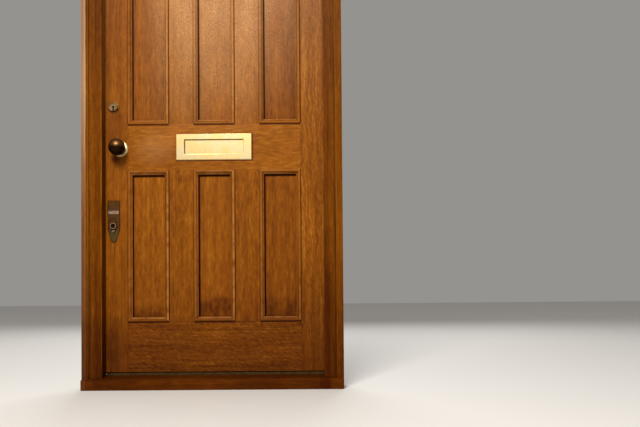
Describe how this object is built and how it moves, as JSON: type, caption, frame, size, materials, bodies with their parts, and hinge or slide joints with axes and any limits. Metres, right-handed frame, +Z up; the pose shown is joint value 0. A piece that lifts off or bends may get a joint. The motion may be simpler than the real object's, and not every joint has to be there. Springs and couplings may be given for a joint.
{
  "type": "panelled front door with frame",
  "caption": "Oak front door of tall panels over shorter ones, hung in a rebated frame, with a letter plate, ball knob, locks and butt hinges; the leaf opens inwards.",
  "frame": {"origin": "the middle of the sill's underside, in the plane of the leaf's outer face", "axes": "+X right seen from outside, +Y into the house, +Z up"},
  "size_m": [0.933, 0.186, 2.142],
  "materials": {
    "oak_frame": "varnished, weathered",
    "oak_leaf": "varnished",
    "oak_panel": "varnished",
    "polished_brass": "polished",
    "dull_brass": "dull",
    "dark_bronze": "dark, rubbed",
    "patinated_bronze": "patinated",
    "bare_metal": "bare, rubbed",
    "steel": "plain"
  },
  "bodies": {
    "frame": {"sill": "oak_frame", "water_bar": "steel", "jamb_lock_side": "oak_frame", "jamb_hinge_side": "oak_frame", "frame_head": "oak_frame", "cover_beads": "oak_frame", "frame_hinge_plates": "dull_brass", "hinge_pins": "dull_brass", "latch_keep": "dull_brass", "upper_keep": "dull_brass", "lower_keep": "dull_brass", "frame_screws": "steel"},
    "leaf": {"lock_stile": "oak_leaf", "hinge_stile": "oak_leaf", "top_rail": "oak_leaf", "lock_rail": "oak_leaf", "bottom_rail": "oak_leaf", "muntin_lower_left": "oak_leaf", "muntin_lower_right": "oak_leaf", "muntin_upper_left": "oak_leaf", "muntin_upper_right": "oak_leaf", "outer_mouldings_lower": "oak_leaf", "outer_mouldings_upper": "oak_leaf", "inner_mouldings_lower": "oak_leaf", "inner_mouldings_upper": "oak_leaf", "panel_lower_left": "oak_panel", "panel_lower_middle": "oak_panel", "panel_lower_right": "oak_panel", "panel_upper_left": "oak_panel", "panel_upper_middle": "oak_panel", "panel_upper_right": "oak_panel", "letter_plate": "polished_brass", "rose_outer": "polished_brass", "inner_letter_frame": "polished_brass", "rose_inner": "polished_brass", "key_escutcheon_outer": "dull_brass", "key_escutcheon_inner": "dull_brass", "leaf_hinge_plates": "dull_brass", "letter_fixings": "dull_brass", "lower_lock_plate": "patinated_bronze", "inner_lock_plate": "patinated_bronze", "lower_lock_band": "bare_metal", "latch_case": "steel", "upper_lock_case": "steel", "lower_lock_case": "steel", "leaf_screws": "steel", "letter_flap_spring": "steel"},
    "letter_flap": {"letter_flap": "polished_brass"},
    "inner_letter_flap": {"inner_letter_flap": "polished_brass"},
    "knob": {"knob_outer": "dark_bronze", "knob_inner": "dark_bronze", "knob_spindle": "steel", "latch_follower": "steel"},
    "latch_bolt": {"latch_bolt": "steel"},
    "upper_bolt": {"upper_bolt": "steel"},
    "cylinder": {"cylinder_plug": "dull_brass", "thumb_turn": "patinated_bronze"},
    "lower_bolt": {"lower_bolt": "steel"}
  },
  "joints": [
    {"name": "leaf_swing", "type": "hinge", "parent": "frame", "child": "leaf", "pos_m": [0.408, 0.0505, 1.0785], "axis": [0, 0, -1], "range_deg": [0, 110]},
    {"name": "letter_flap_hinge", "type": "hinge", "parent": "leaf", "child": "letter_flap", "pos_m": [0, 0.0004, 0.9062], "axis": [1, 0, 0], "range_deg": [0, 45], "stiffness_Nm_per_rad": 0.06, "springref_deg": -14.32},
    {"name": "inner_flap_hinge", "type": "hinge", "parent": "leaf", "child": "inner_letter_flap", "pos_m": [0, 0.05, 0.9102], "axis": [1, 0, 0], "range_deg": [0, 80]},
    {"name": "knob_turn", "type": "hinge", "parent": "leaf", "child": "knob", "pos_m": [-0.3435, 0.022, 0.8705], "axis": [0, -1, 0], "range_deg": [0, 60], "stiffness_Nm_per_rad": 0.2, "springref_deg": 60},
    {"name": "latch_slide", "type": "slide", "parent": "leaf", "child": "latch_bolt", "axis": [-1, 0, 0], "range_m": [0, 0.012]},
    {"name": "upper_bolt_slide", "type": "slide", "parent": "leaf", "child": "upper_bolt", "axis": [-1, 0, 0], "range_m": [0, 0.02]},
    {"name": "lower_bolt_slide", "type": "slide", "parent": "leaf", "child": "lower_bolt", "axis": [-1, 0, 0], "range_m": [0, 0.02]},
    {"name": "cylinder_turn", "type": "hinge", "parent": "leaf", "child": "cylinder", "pos_m": [-0.3665, 0.022, 0.5885], "axis": [0, -1, 0], "range_deg": [0, 90]}
  ],
  "couplings": [
    {"joint": "latch_slide", "follows": "knob_turn", "m_per_rad": 0.011459},
    {"joint": "cylinder_turn", "follows": "lower_bolt_slide", "rad_per_m": 78.54}
  ]
}
